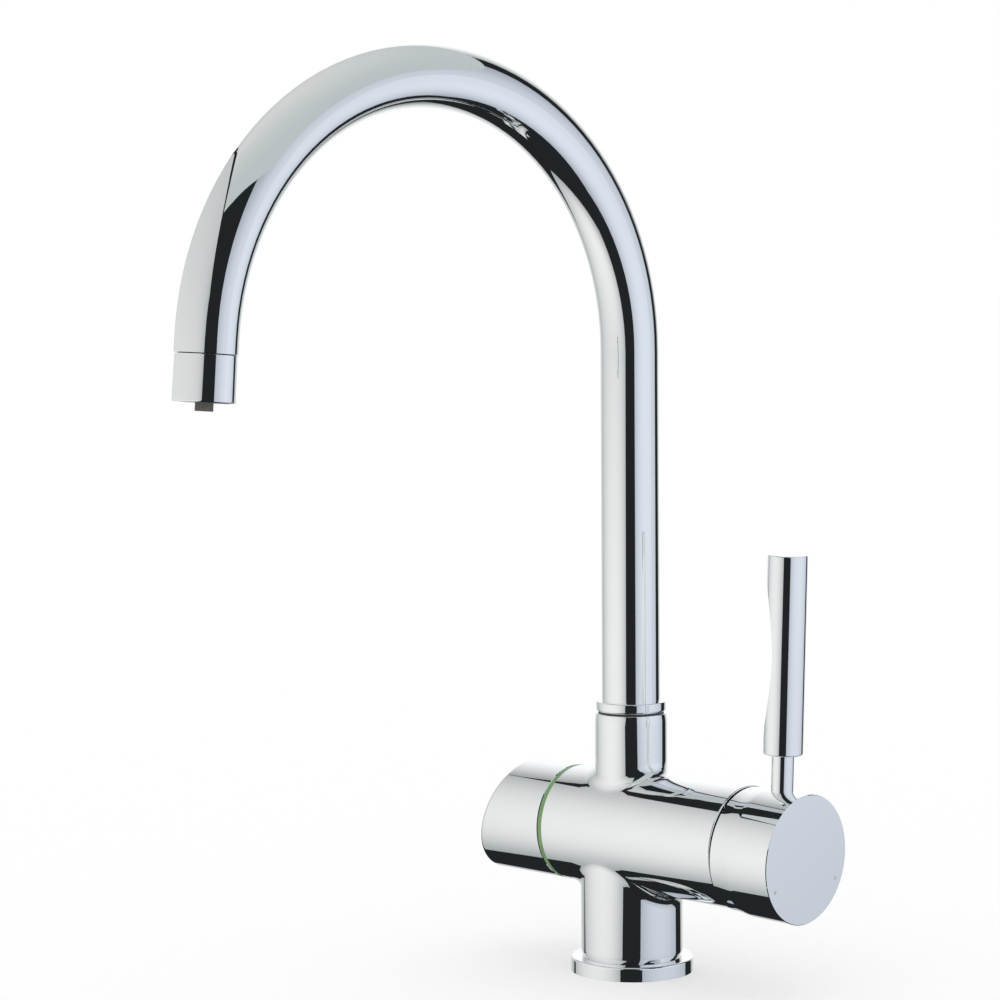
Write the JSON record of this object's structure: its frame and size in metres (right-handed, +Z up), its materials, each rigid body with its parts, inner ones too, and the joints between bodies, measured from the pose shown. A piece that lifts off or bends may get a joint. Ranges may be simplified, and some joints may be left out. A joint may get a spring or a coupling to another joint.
{
  "type": "three way kitchen tap",
  "caption": "Swan-neck kitchen tap with a mixer lever on one side and a filtered water knob on the other, a swivelling spout and a separate filtered water nozzle in the aerator.",
  "frame": {"origin": "centre of the base on the deck, on the swivel axis of the spout", "axes": "+Z up along the spout's swivel axis, +X along the barrel towards the mixer lever, -Y the way the spout reaches at mid swivel"},
  "size_m": [0.1616, 0.2525, 0.3764],
  "materials": {
    "chrome": "polished chrome plate",
    "brass": "machined brass",
    "steel": "plain stainless",
    "rubber": "matt black rubber",
    "ceramic": "lapped white ceramic",
    "cartridge_plastic": "moulded light grey",
    "plug_plastic": "moulded grey",
    "green_plastic": "moulded green",
    "hose_plastic": "extruded natural",
    "bearing_plastic": "moulded black",
    "nozzle_plastic": "moulded grey-brown"
  },
  "bodies": {
    "body": {"body_casting": "chrome", "base_flange": "chrome", "base_seal": "rubber", "inlet_block": "brass", "cartridge_port_seal": "rubber", "cartridge_housing": "cartridge_plastic", "fixed_ceramic_disc": "ceramic", "cartridge_nut": "brass", "cartridge_dome": "chrome", "green_ring": "green_plastic", "filter_seat_washer": "rubber", "filter_valve_housing": "brass", "filter_fixed_disc": "ceramic", "spout_locking_screw": "steel"},
    "mixer_turn": {"turning_carrier": "cartridge_plastic", "pivot_pin": "steel"},
    "lever": {"cartridge_stem": "brass", "lever_cap": "chrome", "lever_stem": "chrome", "lever_grip": "chrome", "lever_grub_screw": "steel", "lever_screw_plug": "plug_plastic"},
    "mixing_disc": {"moving_ceramic_disc": "ceramic", "disc_driver": "cartridge_plastic"},
    "filter_control": {"filter_moving_disc": "ceramic", "filter_spindle": "brass", "spindle_o_ring": "rubber", "spindle_clip": "steel", "spline_insert": "cartridge_plastic", "filter_knob": "chrome", "knob_grub_screw": "steel"},
    "spout": {"spout_tube": "chrome", "filtered_water_tube": "hose_plastic", "spout_insert": "brass", "lower_neck_o_ring": "rubber", "upper_neck_o_ring": "rubber", "spout_bush": "bearing_plastic", "spout_thrust_washer": "bearing_plastic", "spout_collar": "chrome", "outlet_bush": "bearing_plastic", "aerator_housing": "chrome", "aerator_washer": "rubber", "aerator_insert": "bearing_plastic", "filtered_nozzle": "nozzle_plastic"}
  },
  "joints": [
    {"name": "spout_swivel", "type": "hinge", "parent": "body", "child": "spout", "pos_m": [0, 0, 0.107], "axis": [0, 0, 1], "range_deg": [-104.6, 115.4]},
    {"name": "lever_turn", "type": "hinge", "parent": "body", "child": "mixer_turn", "pos_m": [0.0465, 0, 0.0583], "axis": [1, 0, 0], "range_deg": [-45, 45]},
    {"name": "lever_tilt", "type": "hinge", "parent": "mixer_turn", "child": "lever", "pos_m": [0.0465, 0, 0.0583], "axis": [0, 1, 0], "range_deg": [-1.8, 18]},
    {"name": "disc_slide", "type": "slide", "parent": "mixer_turn", "child": "mixing_disc", "axis": [0, 0, 1], "range_m": [-0.0002, 0.0018]},
    {"name": "filter_knob_turn", "type": "hinge", "parent": "body", "child": "filter_control", "pos_m": [-0.047, 0, 0.0583], "axis": [-1, 0, 0], "range_deg": [0, 90]}
  ],
  "couplings": [
    {"joint": "disc_slide", "follows": "lever_tilt", "m_per_rad": 0.0056}
  ]
}
